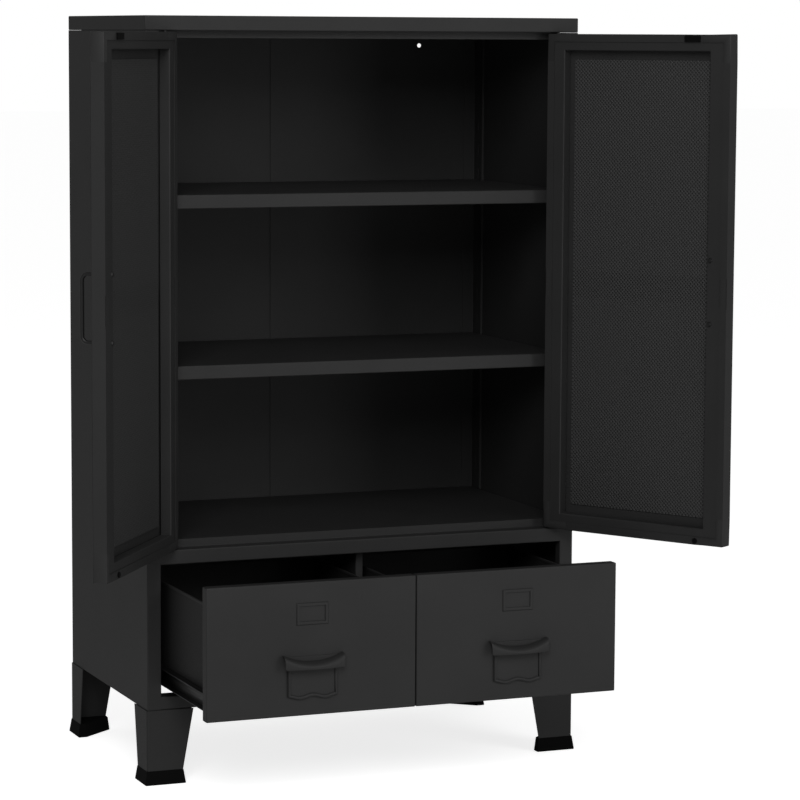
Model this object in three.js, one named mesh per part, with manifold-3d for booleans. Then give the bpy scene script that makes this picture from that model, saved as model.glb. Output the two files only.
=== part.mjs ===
// A tall steel cabinet: two mesh-panel doors over three compartments, two drawers side by side
// below, on four tapered angle legs. Everything is folded sheet steel with a powder coat.
// Millimetres, +Z up, front towards -Y. The doors stand open and the drawers are pulled out,
// and the origin is on the floor under the middle of that standing outline.
import * as THREE from "three";
import { mergeVertices } from "three/addons/utils/BufferGeometryUtils.js";
import Module from "manifold-3d";

const wasm = await Module();
wasm.setup();

// ---------------------------------------------------------------- driving dimensions
const WIDTH = 700;
const DEPTH = 400;
const HEIGHT = 1150;
const STEEL = 1; // body sheet
const FIT = 0.3; // clearance between two pieces that touch
const RUN = 1; // clearance between two pieces that slide or swing past each other

const LEG_HEIGHT = 114; // floor to the underside of the body
const DRAWER_TOP = 334; // underside of the rail over the drawers
const LEDGE = 356; // ledge that the doors stand over
const FLOOR_TOP = 368; // compartment floor
const SHELF_PITCH = 256;
const CAP_HEIGHT = 22;

const STILE = 22; // front flange of a side panel
const STILE_RETURN = 15;
const REAR_FLANGE = 20;
const BOTTOM_RAIL = 20;
const DOOR_DEPTH = 20;
const DOOR_STOP = 23; // front of the lip that the doors close against

const DOOR_OPEN = { left: THREE.MathUtils.degToRad(126), right: THREE.MathUtils.degToRad(121.5) };
const DRAWER_OUT = 206;

const COATING = 0x2b2b2b;
const COATING_DARK = 0x202020;
const ZINC = 0x3a3a3a;
const RUBBER = 0x0b0b0b;

// ---------------------------------------------------------------- worked out from them
const HALF = WIDTH / 2;
const OPENING = HALF - STILE; // half the clear width between the stiles
const CAP_BOTTOM = HEIGHT - CAP_HEIGHT;
const BODY_TOP = CAP_BOTTOM - FIT;
const INNER = HALF - STEEL; // inner face of a side panel
const BACK = DEPTH - STEEL; // inner face of the back panels
const REAR_INSIDE = BACK - STEEL - 2 * FIT; // in front of the panels' rear flanges
const DRAWER_FLOOR = LEG_HEIGHT + BOTTOM_RAIL; // top of the bottom rail
const LOWER_SHELF = FLOOR_TOP + SHELF_PITCH + 5;
const UPPER_SHELF = LOWER_SHELF + SHELF_PITCH;
const DECK_FRONT = DOOR_STOP + STEEL + FIT; // behind the lips that the doors close against

// ---------------------------------------------------------------- solids
function box(x0, x1, y0, y1, z0, z1) {
  const g = new THREE.BoxGeometry(x1 - x0, y1 - y0, z1 - z0);
  return g.translate((x0 + x1) / 2, (y0 + y1) / 2, (z0 + z1) / 2);
}

function extrude(points, length) {
  const shape = new THREE.Shape(points.map(([u, v]) => new THREE.Vector2(u, v)));
  return new THREE.ExtrudeGeometry(shape, { depth: length, bevelEnabled: false });
}

// An outline of (x, y) points raised from z0 to z1.
function raised(points, z0, z1) {
  return extrude(points, z1 - z0).translate(0, 0, z0);
}

// An outline of (y, z) points carried across from x0 to x1.
function across(points, x0, x1) {
  const turn = new THREE.Matrix4().makeBasis(
    new THREE.Vector3(0, 1, 0),
    new THREE.Vector3(0, 0, 1),
    new THREE.Vector3(1, 0, 0),
  );
  return extrude(points, x1 - x0).applyMatrix4(turn).translate(x0, 0, 0);
}

// An outline of (x, z) points carried back from y0 to y1.
function back(points, y0, y1) {
  return extrude(points, y1 - y0).rotateX(Math.PI / 2).translate(0, y1, 0);
}

// A round bar along Z.
function bar(x, y, z0, z1, radius, sides = 20) {
  const g = new THREE.CylinderGeometry(radius, radius, z1 - z0, sides);
  return g.rotateX(Math.PI / 2).translate(x, y, (z0 + z1) / 2);
}

// The closed outline of a folded sheet: `path` is one face of it, and the sheet lies to the
// right of the path as it is walked, or to the left where the thickness is negative.
function folded(path, thickness) {
  const normal = ([ax, ay], [bx, by]) => {
    const l = Math.hypot(bx - ax, by - ay);
    return [(by - ay) / l, (ax - bx) / l];
  };
  const other = path.map(([x, y], i) => {
    const a = i > 0 ? normal(path[i - 1], path[i]) : normal(path[0], path[1]);
    const b = i < path.length - 1 ? normal(path[i], path[i + 1]) : a;
    const mitre = thickness / (1 + a[0] * b[0] + a[1] * b[1]);
    return [x + (a[0] + b[0]) * mitre, y + (a[1] + b[1]) * mitre];
  });
  return [...path, ...other.reverse()];
}

function solid(geometry) {
  const bare = geometry.clone();
  bare.deleteAttribute("normal");
  bare.deleteAttribute("uv");
  const merged = mergeVertices(bare, 1e-4);
  // Rounded, so that faces meant to lie in one plane do.
  const corners = merged.attributes.position.array.map((v) => Math.round(v * 1e4) / 1e4);
  return new wasm.Manifold(
    new wasm.Mesh({
      numProp: 3,
      vertProperties: corners,
      triVerts: new Uint32Array(merged.index.array),
    }),
  );
}

function geometry(made) {
  const mesh = made.getMesh();
  const g = new THREE.BufferGeometry();
  g.setAttribute("position", new THREE.BufferAttribute(mesh.vertProperties, 3));
  g.setIndex(new THREE.BufferAttribute(mesh.triVerts, 1));
  return g;
}

function join(...pieces) {
  return geometry(pieces.map(solid).reduce((all, piece) => all.add(piece)));
}

function cut(piece, ...tools) {
  return geometry(tools.map(solid).reduce((left, tool) => left.subtract(tool), solid(piece)));
}

// The same piece on the other side of the middle plane X = 0.
function mirrored(g) {
  const made = solid(g).mirror([1, 0, 0]);
  return geometry(made);
}

function piece(name, g, colour = COATING, roughness = 0.55, metalness = 0.2) {
  const material = new THREE.MeshStandardMaterial({ color: colour, roughness, metalness });
  const mesh = new THREE.Mesh(g, material);
  mesh.name = name;
  return mesh;
}

const SIDES = ["left", "right"];
// A piece drawn for the left side, put on the side asked for.
const sided = (side, g) => (side === "left" ? g : mirrored(g));

// ---------------------------------------------------------------- carcass
const PIN_RADIUS = 2.5;
const PIN_X = STILE + 10 - HALF; // left door's pivot
const PIN_Y = 4;
const PIN_REACH = 8; // how far a pin goes into the door

// A tray turned upside down, with a lip folded in all round and the doors' top stop.
function topPanel() {
  const stopDepth = 11;
  const tray = cut(
    box(-HALF, HALF, 0, DEPTH, CAP_BOTTOM, HEIGHT),
    box(-INNER, INNER, STEEL, BACK, CAP_BOTTOM + STEEL, HEIGHT - STEEL),
    box(-OPENING, OPENING, DOOR_STOP + STEEL, DEPTH - REAR_FLANGE, CAP_BOTTOM - 1, CAP_BOTTOM + 2),
  );
  const lip = box(
    -OPENING + FIT, OPENING - FIT, DOOR_STOP, DOOR_STOP + STEEL,
    CAP_BOTTOM - stopDepth, CAP_BOTTOM + STEEL / 2,
  );
  const holes = [-1, 1].map((side) =>
    bar(side * PIN_X, PIN_Y, CAP_BOTTOM - 1, CAP_BOTTOM + 2, PIN_RADIUS + FIT),
  );
  return cut(join(tray, lip), ...holes);
}

// One sheet folded into the stile, the side and the rear flange, with a flange for the legs.
function sidePanel() {
  const rear = BACK - FIT;
  const plan = folded(
    [
      [-OPENING, STILE_RETURN],
      [-OPENING, 0],
      [-HALF, 0],
      [-HALF, rear],
      [-HALF + REAR_FLANGE, rear],
    ],
    STEEL,
  );
  const footFlange = box(
    -HALF + STEEL / 2, -HALF + REAR_FLANGE, REAR_FLANGE, DEPTH - REAR_FLANGE,
    LEG_HEIGHT, LEG_HEIGHT + STEEL,
  );
  return join(raised(plan, LEG_HEIGHT, BODY_TOP), footFlange);
}

const ANCHOR_X = 249;
const ANCHOR_Z = 1106;
const ANCHOR_RADIUS = 3.5;
const LAP = 12; // the right back panel's tongue over the left one

function backPanel(side) {
  const edge = INNER + STEEL - FIT;
  const tongue = BACK - STEEL - FIT;
  const plan =
    side === "left"
      ? [[-edge, BACK], [-FIT, BACK], [-FIT, DEPTH], [-edge, DEPTH]]
      : folded([[-LAP, tongue], [STEEL, tongue], [STEEL, BACK], [edge, BACK]], -STEEL);
  const anchor = new THREE.CylinderGeometry(ANCHOR_RADIUS, ANCHOR_RADIUS, 10, 20);
  anchor.translate(side === "left" ? -ANCHOR_X : ANCHOR_X, DEPTH, ANCHOR_Z);
  return cut(raised(plan, LEG_HEIGHT + FIT, BODY_TOP), anchor);
}

// The rail over the drawers, folded back into the ledge under the doors and their lower stop.
function drawerTopRail() {
  const hem = 12;
  const profile = folded(
    [
      [hem, DRAWER_TOP],
      [0, DRAWER_TOP],
      [0, LEDGE],
      [DOOR_STOP, LEDGE],
      [DOOR_STOP, FLOOR_TOP],
    ],
    STEEL,
  );
  const holes = [-1, 1].map((side) =>
    bar(side * PIN_X, PIN_Y, LEDGE - 2, LEDGE + 1, PIN_RADIUS + FIT),
  );
  return cut(across(profile, -OPENING + FIT, OPENING - FIT), ...holes);
}

// Floor of the compartments: a tray turned upside down behind that rail.
function compartmentFloor() {
  const half = INNER - UPRIGHT_DEPTH - FIT;
  const flange = 12;
  const bottom = FLOOR_TOP - flange;
  return cut(
    box(-half, half, DECK_FRONT, REAR_INSIDE, bottom, FLOOR_TOP),
    box(-half - 1, half + 1, DECK_FRONT + STEEL, REAR_INSIDE - STEEL, bottom - 1, FLOOR_TOP - STEEL),
  );
}

function bottomRail(end) {
  const lower = 20;
  const upper = 26;
  const rear = REAR_INSIDE;
  const reach = end === "front" ? OPENING - FIT : HALF - REAR_FLANGE - FIT;
  const profile =
    end === "front"
      ? folded([[lower, LEG_HEIGHT], [0, LEG_HEIGHT], [0, DRAWER_FLOOR], [upper, DRAWER_FLOOR]], STEEL)
      : folded(
          [
            [rear - lower, LEG_HEIGHT],
            [rear, LEG_HEIGHT],
            [rear, DRAWER_FLOOR],
            [rear - upper, DRAWER_FLOOR],
          ],
          -STEEL,
        );
  return across(profile, -reach, reach);
}

const DIVIDER_HALF = 6;

// The wall between the drawers, one sheet folded round a narrow front.
function drawerDivider() {
  const front = DECK_FRONT + STEEL + FIT;
  const rear = REAR_INSIDE - STEEL - FIT;
  const plan = folded(
    [
      [-DIVIDER_HALF, rear],
      [-DIVIDER_HALF, front],
      [DIVIDER_HALF, front],
      [DIVIDER_HALF, rear],
    ],
    -STEEL,
  );
  return raised(plan, DRAWER_FLOOR + FIT, FLOOR_TOP - STEEL - FIT);
}

const UPRIGHT_WIDTH = 25;
const UPRIGHT_DEPTH = 4;
const UPRIGHT_Y = { front: 40, rear: 357.5 };

const SHELF_DEPTH = 21;
const CLIP_STEEL = 1.5;
const CLIP_REACH = 14;
const CLIP_DROP = 20;

// A slotted channel on the side panel, with the clip hooked into it under each shelf.
function shelfUpright(end) {
  const y0 = UPRIGHT_Y[end];
  const y1 = y0 + UPRIGHT_WIDTH;
  const wall = -INNER + FIT;
  const web = -INNER + UPRIGHT_DEPTH;
  const plan = folded([[wall, y0], [web, y0], [web, y1], [wall, y1]], -STEEL);
  const slotPitch = 40;
  const slotHeight = 16;
  const slotHalf = 2;
  const middle = (y0 + y1) / 2;
  const slots = [];
  for (let z = FLOOR_TOP + slotPitch; z < CAP_BOTTOM - slotPitch; z += slotPitch) {
    slots.push(box(web - 2, web + 1, middle - slotHalf, middle + slotHalf, z, z + slotHeight));
  }
  const strip = cut(raised(plan, FLOOR_TOP + FIT, BODY_TOP - 10), ...slots);
  const clips = [LOWER_SHELF, UPPER_SHELF].flatMap((top) => {
    const seat = top - SHELF_DEPTH - FIT;
    return [
      box(web - STEEL, web + CLIP_REACH, y0, y1, seat - CLIP_STEEL, seat),
      box(web - STEEL / 2, web + CLIP_STEEL, y0, y1, seat - CLIP_DROP, seat),
    ];
  });
  return join(strip, ...clips);
}

// A tray turned upside down, its front edge hemmed.
function shelf(top) {
  const half = INNER - UPRIGHT_DEPTH - FIT;
  const front = 26;
  const rear = 393;
  const hem = 10;
  const tray = cut(
    box(-half, half, front, rear, top - SHELF_DEPTH, top),
    box(-half + STEEL, half - STEEL, front + STEEL, rear - STEEL, top - SHELF_DEPTH - 1, top - STEEL),
  );
  const lip = box(-half, half, front, front + hem, top - SHELF_DEPTH, top - SHELF_DEPTH + STEEL);
  return join(tray, lip);
}

// ---------------------------------------------------------------- legs and feet
const LEG_STEEL = 1.5;
const LEG_TOP = LEG_HEIGHT - 1.5;
const LEG_BOTTOM = 8;
const LEG_FRONT = { top: 72, foot: 53 }; // width of the face seen from the front
const LEG_SIDE = { top: 62, foot: 44 };
const FOOT_HEIGHT = 22;
const FOOT_FLARE = { top: 2, bottom: 5 };

// The left front leg: two tapered faces on one vertical corner, with a flange for its bolts.
function leg() {
  const face = (width) => [
    [0, LEG_BOTTOM],
    [width.foot, LEG_BOTTOM],
    [width.top, LEG_TOP],
    [0, LEG_TOP],
  ];
  const flange = 40;
  return join(
    back(face(LEG_FRONT), 0, LEG_STEEL),
    across(face(LEG_SIDE), 0, LEG_STEEL),
    box(0, flange, 0, flange, LEG_TOP - LEG_STEEL, LEG_TOP),
  );
}

// The foot under it: a corner block that flares towards the floor, slotted for the leg.
function foot() {
  const across0 = LEG_FRONT.foot + 1;
  const deep = LEG_SIDE.foot + 1;
  const arm = 9;
  const outline = (flare) => [
    [-flare, -flare],
    [across0 + flare, -flare],
    [across0 + flare, arm],
    [arm, deep + flare],
    [-flare, deep + flare],
  ];
  const rings = [
    outline(FOOT_FLARE.bottom).map(([x, y]) => [x, y, 0]),
    outline(FOOT_FLARE.top).map(([x, y]) => [x, y, FOOT_HEIGHT]),
  ];
  const n = rings[0].length;
  const faces = [];
  for (let i = 0; i < n; i += 1) {
    const j = (i + 1) % n;
    faces.push(i, j, n + j, i, n + j, n + i);
    if (i > 0 && j > 0) faces.push(0, j, i, n, n + i, n + j);
  }
  const block = new THREE.BufferGeometry();
  block.setAttribute("position", new THREE.Float32BufferAttribute(rings.flat(2), 3));
  block.setIndex(faces);
  const slot = LEG_STEEL + FIT;
  const floor = LEG_BOTTOM - FIT;
  const wider = 4; // the leg is wider at the top of the slot than at its floor
  return cut(
    block,
    box(-FIT, LEG_FRONT.foot + wider, -FIT, slot, floor, FOOT_HEIGHT + 1),
    box(-FIT, slot, -FIT, LEG_SIDE.foot + wider, floor, FOOT_HEIGHT + 1),
  );
}

// A corner piece drawn for x and y growing inwards from (0, 0), put at one of the four corners.
function atCorner(g, side, end) {
  let made = solid(g);
  if (side === "right") made = made.mirror([1, 0, 0]);
  if (end === "rear") made = made.mirror([0, 1, 0]);
  const x = side === "left" ? -HALF : HALF;
  const y = end === "front" ? 0 : DEPTH;
  return geometry(made.translate([x, y, 0]));
}

// ---------------------------------------------------------------- hinge pins
const DOOR_BOTTOM = LEDGE + 1.5;
const DOOR_TOP = CAP_BOTTOM - 2;

function hingePin(end) {
  const tail = 5;
  return end === "top"
    ? bar(PIN_X, PIN_Y, DOOR_TOP - PIN_REACH, CAP_BOTTOM + STEEL + tail, PIN_RADIUS)
    : bar(PIN_X, PIN_Y, LEDGE - STEEL - tail, DOOR_BOTTOM + PIN_REACH, PIN_RADIUS);
}

// ---------------------------------------------------------------- left door, drawn shut
const DOOR_X0 = -OPENING + 2; // hinge edge
const DOOR_X1 = -1.25; // meeting edge
const DOOR_MIDDLE = (DOOR_BOTTOM + DOOR_TOP) / 2;
const DOOR_LIP = 12;
const FRAME = { hinge: 30, free: 36, end: 25 }; // how far the inner frame reaches from each edge
const WINDOW = { hinge: 42, free: 48, end: 42 };
const MID_RAIL = 41;

// The skin: a pan with its edges folded back and in, and two windows for the mesh.
function doorPanel() {
  const windows = [
    [DOOR_BOTTOM + WINDOW.end, DOOR_MIDDLE - MID_RAIL / 2],
    [DOOR_MIDDLE + MID_RAIL / 2, DOOR_TOP - WINDOW.end],
  ].map(([z0, z1]) => box(DOOR_X0 + WINDOW.hinge, DOOR_X1 - WINDOW.free, -1, STEEL + 1, z0, z1));
  const pinHole = bar(PIN_X, PIN_Y, DOOR_BOTTOM - 1, DOOR_TOP + 1, PIN_RADIUS + FIT);
  return cut(
    box(DOOR_X0, DOOR_X1, 0, DOOR_DEPTH, DOOR_BOTTOM, DOOR_TOP),
    box(
      DOOR_X0 + STEEL, DOOR_X1 - STEEL, STEEL, DOOR_DEPTH - STEEL,
      DOOR_BOTTOM + STEEL, DOOR_TOP - STEEL,
    ),
    box(
      DOOR_X0 + DOOR_LIP, DOOR_X1 - DOOR_LIP, DOOR_DEPTH / 2, DOOR_DEPTH + 1,
      DOOR_BOTTOM + DOOR_LIP, DOOR_TOP - DOOR_LIP,
    ),
    pinHole,
    ...windows,
    ...HANDLE_HOLES.map((z) => screwHole(z, -1, STEEL + 1)),
  );
}

// The frame inside it: a flat ring behind the skin's lips, turned forward at its inner edge.
function doorFrame() {
  const gap = STEEL + FIT;
  const face = DOOR_DEPTH - STEEL - FIT;
  const front = STEEL + MESH_STEEL + 2 * FIT;
  const x0 = DOOR_X0 + FRAME.hinge;
  const x1 = DOOR_X1 - FRAME.free;
  const z0 = DOOR_BOTTOM + FRAME.end;
  const z1 = DOOR_TOP - FRAME.end;
  const ring = cut(
    box(DOOR_X0 + gap, DOOR_X1 - gap, face - STEEL, face, DOOR_BOTTOM + gap, DOOR_TOP - gap),
    box(x0, x1, 0, DOOR_DEPTH, z0, z1),
  );
  const turn = cut(
    box(x0 - STEEL, x1 + STEEL, front, face, z0 - STEEL, z1 + STEEL),
    box(x0, x1, 0, DOOR_DEPTH, z0, z1),
  );
  return cut(join(ring, turn), ...HANDLE_HOLES.map((z) => screwHole(z, 0, DOOR_DEPTH)));
}

const MESH_STEEL = 0.8;

function doorMesh() {
  const margin = 3;
  return box(
    DOOR_X0 + WINDOW.hinge - margin, DOOR_X1 - WINDOW.free + margin,
    STEEL + FIT, STEEL + FIT + MESH_STEEL,
    DOOR_BOTTOM + WINDOW.end - margin, DOOR_TOP - WINDOW.end + margin,
  );
}

const HANDLE_X = DOOR_X1 - 30;
const HANDLE_PITCH = 96; // between its two screws
const HANDLE_HOLES = [DOOR_MIDDLE - HANDLE_PITCH / 2, DOOR_MIDDLE + HANDLE_PITCH / 2];
const HANDLE_REACH = 28;
const HANDLE_RADIUS = 3;
const SCREW_RADIUS = 2;

function screwHole(z, y0, y1) {
  const g = new THREE.CylinderGeometry(SCREW_RADIUS + FIT, SCREW_RADIUS + FIT, y1 - y0, 16);
  return g.translate(HANDLE_X, (y0 + y1) / 2, z);
}

// A round bar bent into a bow, its two feet flat on the skin.
function doorHandle() {
  const bend = 9;
  const reach = -HANDLE_REACH + HANDLE_RADIUS;
  const [low, high] = HANDLE_HOLES;
  const p = (y, z) => new THREE.Vector3(HANDLE_X, y, z);
  const route = new THREE.CurvePath();
  route.add(new THREE.LineCurve3(p(-FIT, low), p(reach + bend, low)));
  route.add(new THREE.QuadraticBezierCurve3(p(reach + bend, low), p(reach, low), p(reach, low + bend)));
  route.add(new THREE.LineCurve3(p(reach, low + bend), p(reach, high - bend)));
  route.add(
    new THREE.QuadraticBezierCurve3(p(reach, high - bend), p(reach, high), p(reach + bend, high)),
  );
  route.add(new THREE.LineCurve3(p(reach + bend, high), p(-FIT, high)));
  const section = new THREE.Shape().absarc(0, 0, HANDLE_RADIUS, 0, 2 * Math.PI);
  return new THREE.ExtrudeGeometry(section, {
    steps: 36,
    curveSegments: 6,
    extrudePath: route,
    bevelEnabled: false,
  });
}

// A pan-head screw driven from inside the door into the foot of the handle.
function handleScrew(z) {
  const head = 4;
  const headHeight = 2.4;
  const face = DOOR_DEPTH - STEEL;
  const profile = [
    [0, FIT],
    [SCREW_RADIUS, FIT],
    [SCREW_RADIUS, face],
    [head, face],
    [head * 0.7, face + headHeight],
    [0, face + headHeight],
  ].map(([r, y]) => new THREE.Vector2(r, y));
  return new THREE.LatheGeometry(profile, 16).translate(HANDLE_X, 0, z);
}

const CATCH_X = DOOR_X1 - 65;
const CATCH_HALF = 13.5;
const CATCH_THICK = 2.2;
const BUMPER_X = DOOR_X1 - 48;
const BUMPER_RADIUS = 4;

// A magnet plate that meets the cap's lip when the door is shut.
function doorCatch() {
  const y0 = DOOR_DEPTH + FIT;
  return box(
    CATCH_X - CATCH_HALF, CATCH_X + CATCH_HALF, y0, y0 + CATCH_THICK,
    DOOR_TOP - DOOR_LIP + 1, DOOR_TOP - 2,
  );
}

// A soft button that meets the ledge's lip when the door is shut.
function doorBumper() {
  const y0 = DOOR_DEPTH + FIT;
  const g = new THREE.CylinderGeometry(BUMPER_RADIUS, BUMPER_RADIUS, CATCH_THICK, 20);
  return g.translate(BUMPER_X, y0 + CATCH_THICK / 2, DOOR_BOTTOM + DOOR_LIP / 2);
}

// ---------------------------------------------------------------- left drawer, drawn shut
const DRAWER_X0 = -OPENING + 1.5;
const DRAWER_X1 = -0.75;
const DRAWER_MIDDLE = (DRAWER_X0 + DRAWER_X1) / 2;
const FRONT_Z0 = DRAWER_FLOOR + 1.5;
const FRONT_Z1 = DRAWER_TOP - 1.5;
const FRONT_DEPTH = 18;
const RUNNER = 14.2; // width that one pair of rails takes
const BOX_X0 = -OPENING + RUNNER + FIT;
const BOX_X1 = -DIVIDER_HALF - RUNNER - 2 * FIT;
const BOX_Y0 = FRONT_DEPTH + FIT;
const BOX_Y1 = 372;
const BOX_Z0 = DRAWER_FLOOR + 28;
const BOX_Z1 = FRONT_Z1 - 30;
const RAIL_Z0 = BOX_Z0 - 14;
const RAIL_Z1 = RAIL_Z0 + 30;
const RAIL_STEEL = 1.2;

// A pan, open at the back, with a narrow lip folded in.
function drawerFront() {
  const lip = 10;
  return cut(
    box(DRAWER_X0, DRAWER_X1, 0, FRONT_DEPTH, FRONT_Z0, FRONT_Z1),
    box(
      DRAWER_X0 + STEEL, DRAWER_X1 - STEEL, STEEL, FRONT_DEPTH - STEEL,
      FRONT_Z0 + STEEL, FRONT_Z1 - STEEL,
    ),
    box(
      DRAWER_X0 + lip, DRAWER_X1 - lip, FRONT_DEPTH / 2, FRONT_DEPTH + 1,
      FRONT_Z0 + lip, FRONT_Z1 - lip,
    ),
  );
}

// A tray, open at the top.
function drawerBox() {
  return cut(
    box(BOX_X0, BOX_X1, BOX_Y0, BOX_Y1, BOX_Z0, BOX_Z1),
    box(
      BOX_X0 + STEEL, BOX_X1 - STEEL, BOX_Y0 + STEEL, BOX_Y1 - STEEL,
      BOX_Z0 + STEEL, BOX_Z1 + 1,
    ),
  );
}

// The rail on the carcass: a channel open towards the drawer. `wall` is the face it is fixed
// to, and `web` where its web stands off from it.
function fixedRail(web, towards, wall) {
  const lips = web + towards * (RUNNER - 3);
  const channel = folded(
    [[lips, RAIL_Z1], [web, RAIL_Z1], [web, RAIL_Z0], [lips, RAIL_Z0]],
    towards > 0 ? -RAIL_STEEL : RAIL_STEEL,
  );
  const y0 = DECK_FRONT;
  const y1 = REAR_INSIDE;
  const rail = back(channel, y0, y1);
  if (Math.abs(wall - web) < 1) return rail;
  const middle = (RAIL_Z0 + RAIL_Z1) / 2;
  return join(
    rail,
    box(
      Math.min(wall, web), Math.max(wall, web) + RAIL_STEEL / 2, y0, y1 - REAR_FLANGE,
      middle, middle + RAIL_STEEL,
    ),
    box(wall, wall + RAIL_STEEL, y0, y1 - REAR_FLANGE, RAIL_Z0, RAIL_Z1),
  );
}

// The rail on the drawer: a narrower channel that runs inside the fixed one.
function movingRail(side, towards) {
  const reach = side - towards * (RUNNER - RAIL_STEEL - RUN);
  const z0 = RAIL_Z0 + RAIL_STEEL + RUN;
  const z1 = RAIL_Z1 - RAIL_STEEL - RUN;
  const channel = folded(
    [[reach, z1], [side, z1], [side, z0], [reach, z0]],
    towards > 0 ? RAIL_STEEL : -RAIL_STEEL,
  );
  return back(channel, BOX_Y0, BOX_Y1);
}

const HOLDER_WIDTH = 50;
const HOLDER_HEIGHT = 33;
const HOLDER_TOP = FRONT_Z1 - 30;

// A flat frame that a paper label slides into from the side.
function labelHolder() {
  const border = 5;
  const x0 = DRAWER_MIDDLE - HOLDER_WIDTH / 2;
  const x1 = DRAWER_MIDDLE + HOLDER_WIDTH / 2;
  const z0 = HOLDER_TOP - HOLDER_HEIGHT;
  return cut(
    box(x0, x1, -2, -FIT, z0, HOLDER_TOP),
    box(x0 + border, x1 - border, -3, 0, z0 + border, HOLDER_TOP - border),
    box(x0 + border / 2, x1 + 1, -1.2, 0, z0 + border / 2, HOLDER_TOP - border / 2),
  );
}

const PULL_TOP = FRONT_Z1 - 104.5;
const PLATE_HALF = 39;
const PLATE_HEIGHT = 68;
const PLATE_STEEL = 2;
const GRIP_HALF = 47;
const GRIP_HEIGHT = 22;
const GRIP_REACH = 20;

// A plate with a scalloped lower edge, and above it a hood open below and at both ends.
function drawerPull() {
  const scallop = 4;
  const steps = 12;
  const bottom = PULL_TOP - PLATE_HEIGHT;
  const lowerEdge = Array.from({ length: steps + 1 }, (_, i) => {
    const t = (i / steps) * 2 - 1;
    return [DRAWER_MIDDLE + t * PLATE_HALF, bottom + scallop * Math.cos(t * Math.PI) ** 2];
  });
  const outline = [
    ...lowerEdge,
    [DRAWER_MIDDLE + PLATE_HALF, PULL_TOP],
    [DRAWER_MIDDLE - PLATE_HALF, PULL_TOP],
  ];
  const hood = folded(
    [
      [-FIT, PULL_TOP],
      [-GRIP_REACH + 5, PULL_TOP],
      [-GRIP_REACH, PULL_TOP - 5],
      [-GRIP_REACH, PULL_TOP - GRIP_HEIGHT],
    ],
    -PLATE_STEEL,
  );
  return join(
    back(outline, -FIT - PLATE_STEEL, -FIT),
    across(hood, DRAWER_MIDDLE - GRIP_HALF, DRAWER_MIDDLE + GRIP_HALF),
  );
}

// ---------------------------------------------------------------- assembly
const carcass = new THREE.Group();
carcass.add(piece("top_panel", topPanel()));
for (const side of SIDES) {
  carcass.add(piece(`${side}_side_panel`, sided(side, sidePanel())));
  carcass.add(piece(`${side}_back_panel`, backPanel(side)));
  for (const end of ["front", "rear"]) {
    carcass.add(piece(`${side}_${end}_shelf_upright`, sided(side, shelfUpright(end))));
    carcass.add(piece(`${side}_${end}_leg`, atCorner(leg(), side, end), COATING_DARK));
    carcass.add(piece(`${side}_${end}_foot`, atCorner(foot(), side, end), RUBBER, 0.8, 0));
  }
  for (const end of ["top", "bottom"]) {
    carcass.add(piece(`${side}_door_${end}_pin`, sided(side, hingePin(end)), ZINC, 0.4, 0.8));
  }
  const outerRail = fixedRail(-OPENING + FIT, 1, -INNER + FIT);
  const divider = -DIVIDER_HALF - FIT;
  const innerRail = fixedRail(divider, -1, divider);
  carcass.add(piece(`${side}_drawer_outer_fixed_rail`, sided(side, outerRail), ZINC, 0.4, 0.8));
  carcass.add(piece(`${side}_drawer_inner_fixed_rail`, sided(side, innerRail), ZINC, 0.4, 0.8));
}
carcass.add(piece("drawer_top_rail", drawerTopRail()));
carcass.add(piece("compartment_floor", compartmentFloor()));
carcass.add(piece("front_bottom_rail", bottomRail("front")));
carcass.add(piece("rear_bottom_rail", bottomRail("rear")));
carcass.add(piece("drawer_divider", drawerDivider()));
carcass.add(piece("lower_shelf", shelf(LOWER_SHELF)));
carcass.add(piece("upper_shelf", shelf(UPPER_SHELF)));

// A door, hung at its pivot and swung open.
function door(side) {
  const sign = side === "left" ? 1 : -1;
  const swing = new THREE.Group();
  const leaf = new THREE.Group();
  const put = (name, g, ...finish) => leaf.add(piece(`${side}_door_${name}`, sided(side, g), ...finish));
  put("panel", doorPanel());
  put("frame", doorFrame());
  put("mesh", doorMesh(), COATING_DARK, 0.6, 0.3);
  put("handle", doorHandle(), RUBBER, 0.5, 0.2);
  put("upper_screw", handleScrew(HANDLE_HOLES[1]), ZINC, 0.4, 0.8);
  put("lower_screw", handleScrew(HANDLE_HOLES[0]), ZINC, 0.4, 0.8);
  put("catch", doorCatch(), RUBBER, 0.7, 0);
  put("bumper", doorBumper(), RUBBER, 0.7, 0);
  leaf.position.set(-sign * PIN_X, -PIN_Y, 0);
  swing.position.set(sign * PIN_X, PIN_Y, 0);
  swing.rotation.z = -sign * DOOR_OPEN[side];
  swing.add(leaf);
  return swing;
}

// A drawer, slid out along its rails.
function drawer(side) {
  const slid = new THREE.Group();
  const put = (name, g, ...finish) => slid.add(piece(`${side}_drawer_${name}`, sided(side, g), ...finish));
  put("front", drawerFront());
  put("box", drawerBox(), COATING_DARK);
  put("outer_moving_rail", movingRail(BOX_X0 - FIT, 1), ZINC, 0.4, 0.8);
  put("inner_moving_rail", movingRail(BOX_X1 + FIT, -1), ZINC, 0.4, 0.8);
  put("label_holder", labelHolder());
  put("pull", drawerPull());
  slid.position.y = -DRAWER_OUT;
  return slid;
}

// The origin is on the floor, under the middle of the cabinet's outline as it stands open.
const cabinet = new THREE.Group();
cabinet.add(carcass, ...SIDES.map(door), ...SIDES.map(drawer));
const middle = new THREE.Box3().setFromObject(cabinet, true).getCenter(new THREE.Vector3());
cabinet.position.set(-middle.x, -middle.y, 0);

export default cabinet;
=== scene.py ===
"""Looks of a tall folded-steel cabinet: powder coat, mesh door panels, drawers and feet.

Shapes are drawn in millimetres in the cabinet's own coordinates: x from the middle, y back from
the front plane of the body, z up from the floor. Doors and drawers are drawn shut, for the left
side, and put in place by their placing functions.
"""
import math

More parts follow.
